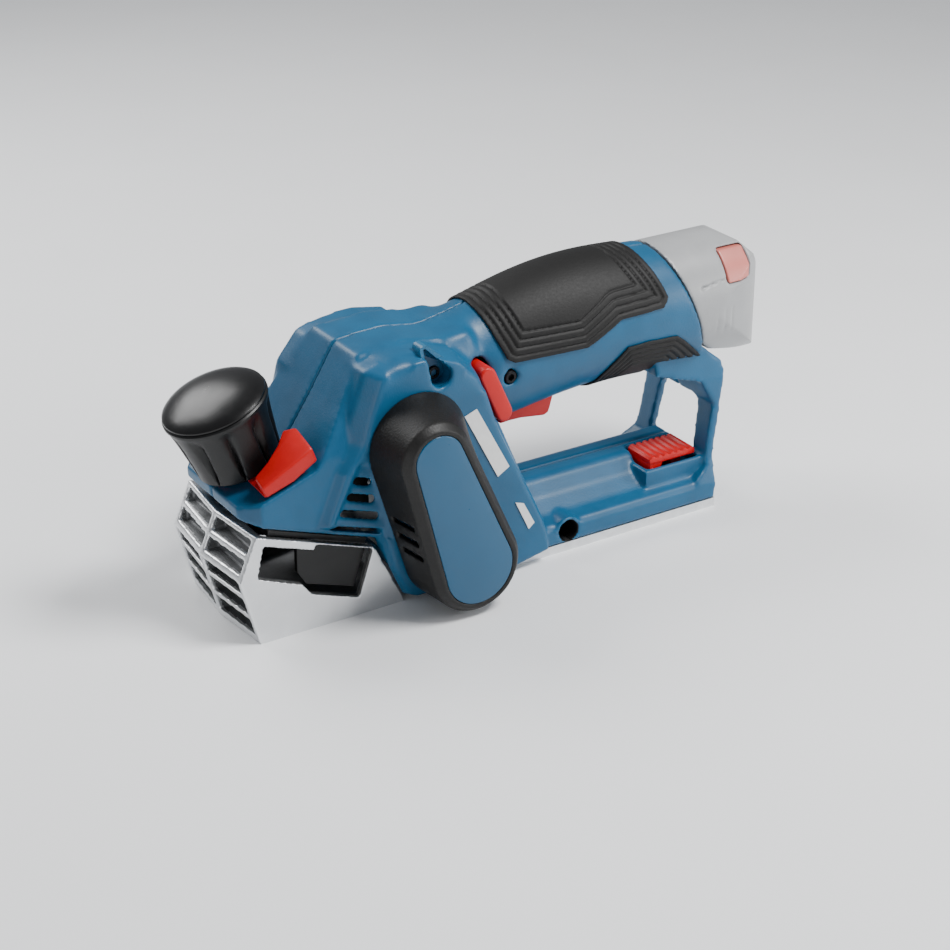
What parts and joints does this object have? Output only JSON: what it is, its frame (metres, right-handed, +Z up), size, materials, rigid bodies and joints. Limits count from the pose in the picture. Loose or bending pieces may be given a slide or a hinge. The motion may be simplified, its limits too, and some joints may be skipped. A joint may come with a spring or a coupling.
{
  "type": "electric hand planer",
  "caption": "Cordless hand planer with a knob-set front shoe, belt-driven cutter drum, looped handle, trigger and slide-in battery.",
  "frame": {"origin": "middle of the footprint of the whole tool, on the sole plane", "axes": "+X from the front knob to the battery, +Z up from the soles; the belt cover is on -Y"},
  "size_m": [0.242, 0.1, 0.1041],
  "materials": {
    "blue_shell": "moulded, fine spark texture",
    "cast_aluminium": "die cast, faces milled",
    "black_plastic": "moulded, fine spark texture",
    "red_plastic": "moulded, satin",
    "soft_grip": "soft overmoulded grip, matt",
    "steel": "ground steel",
    "dark_steel": "blackened steel",
    "circuit_board": "coated board",
    "lead_sheath": "insulated lead",
    "label_film": "printed film, left blank",
    "battery_shell": "pale grey moulding, as drawn",
    "release_button": "pale red moulding, as drawn"
  },
  "bodies": {
    "root": {"bearing_cap": "blue_shell", "bearing_plate": "cast_aluminium", "belt_cover": "black_plastic", "chip_duct": "black_plastic", "control_board": "circuit_board", "cover_badge": "blue_shell", "depth_spindle": "steel", "drive_belt": "soft_grip", "drum_bearing_far": "steel", "drum_bearing_near": "steel", "housing_far": "blue_shell", "housing_near": "blue_shell", "housing_screws": "dark_steel", "info_labels": "label_film", "lower_grip": "soft_grip", "motor_bearing_far": "steel", "motor_bearing_near": "steel", "motor_cap": "blue_shell", "motor_leads": "lead_sheath", "motor_stator": "dark_steel", "parking_pin": "steel", "power_switch": "black_plastic", "rear_sole": "cast_aluminium", "terminal_block": "black_plastic", "trigger_pin": "steel", "trigger_spring": "steel", "upper_grip": "soft_grip"},
    "front_shoe": {"front_shoe": "cast_aluminium"},
    "depth_knob": {"depth_knob": "black_plastic", "knob_cap": "black_plastic"},
    "cutter": {"cutter_drum": "cast_aluminium", "planer_blade": "steel", "blade_clamp": "steel", "blade_seat": "steel", "clamp_screws": "steel", "drum_pulley": "black_plastic"},
    "rotor": {"motor_rotor": "dark_steel", "motor_shaft": "steel", "cooling_fan": "black_plastic", "motor_pulley": "steel"},
    "chip_selector": {"chip_selector": "red_plastic"},
    "chip_deflector": {"chip_deflector": "black_plastic"},
    "trigger": {"trigger": "red_plastic"},
    "lock_button": {"lock_button": "red_plastic"},
    "parking_rest": {"parking_rest": "red_plastic"},
    "battery": {"battery_case": "battery_shell", "battery_stem": "battery_shell"},
    "release_near": {"release_button_near": "release_button"},
    "release_far": {"release_button_far": "release_button"}
  },
  "joints": [
    {"name": "knob_turn", "type": "hinge", "parent": "root", "child": "depth_knob", "pos_m": [-0.095, 0, 0.0564], "axis": [-0.3387, 0, 0.9409], "range_deg": [0, 324]},
    {"name": "shoe_lift", "type": "slide", "parent": "root", "child": "front_shoe", "axis": [0, 0, 1], "range_m": [0, 0.002]},
    {"name": "drum_spin", "type": "hinge", "parent": "root", "child": "cutter", "pos_m": [-0.031, 0, 0.02], "axis": [0, 1, 0], "continuous": true},
    {"name": "motor_spin", "type": "hinge", "parent": "root", "child": "rotor", "pos_m": [-0.04, 0, 0.058], "axis": [0, 1, 0], "continuous": true},
    {"name": "deflector_swing", "type": "hinge", "parent": "root", "child": "chip_deflector", "pos_m": [-0.0946, 0, 0.02], "axis": [0, 0, 1], "range_deg": [-127.62, 0]},
    {"name": "selector_turn", "type": "hinge", "parent": "root", "child": "chip_selector", "pos_m": [-0.095, 0, 0.0564], "axis": [-0.3387, 0, 0.9409], "range_deg": [-200, 0]},
    {"name": "trigger_press", "type": "hinge", "parent": "root", "child": "trigger", "pos_m": [0.031, 0, 0.057], "axis": [0, 1, 0], "range_deg": [0, 9], "stiffness_Nm_per_rad": 0.9, "springref_deg": -6.88, "deforming": ["trigger_spring"]},
    {"name": "lock_press", "type": "slide", "parent": "root", "child": "lock_button", "axis": [0, 1, 0], "range_m": [0, 0.003], "stiffness_N_per_m": 700, "springref_m": -0.002},
    {"name": "rest_swing", "type": "hinge", "parent": "root", "child": "parking_rest", "pos_m": [0.0665, 0, 0.0172], "axis": [0, 1, 0], "range_deg": [0, 10]},
    {"name": "battery_slide", "type": "slide", "parent": "root", "child": "battery", "axis": [1, 0, 0], "range_m": [0, 0.09]},
    {"name": "release_near_press", "type": "slide", "parent": "battery", "child": "release_near", "axis": [0, 1, 0], "range_m": [0, 0.002], "stiffness_N_per_m": 900, "springref_m": -0.002},
    {"name": "release_far_press", "type": "slide", "parent": "battery", "child": "release_far", "axis": [0, -1, 0], "range_m": [0, 0.002], "stiffness_N_per_m": 900, "springref_m": -0.002}
  ],
  "couplings": [
    {"joint": "knob_turn", "follows": "shoe_lift", "rad_per_m": 2827.4},
    {"joint": "motor_spin", "follows": "drum_spin", "ratio": 1.8},
    {"joint": "selector_turn", "follows": "deflector_swing", "ratio": 1.5661}
  ]
}
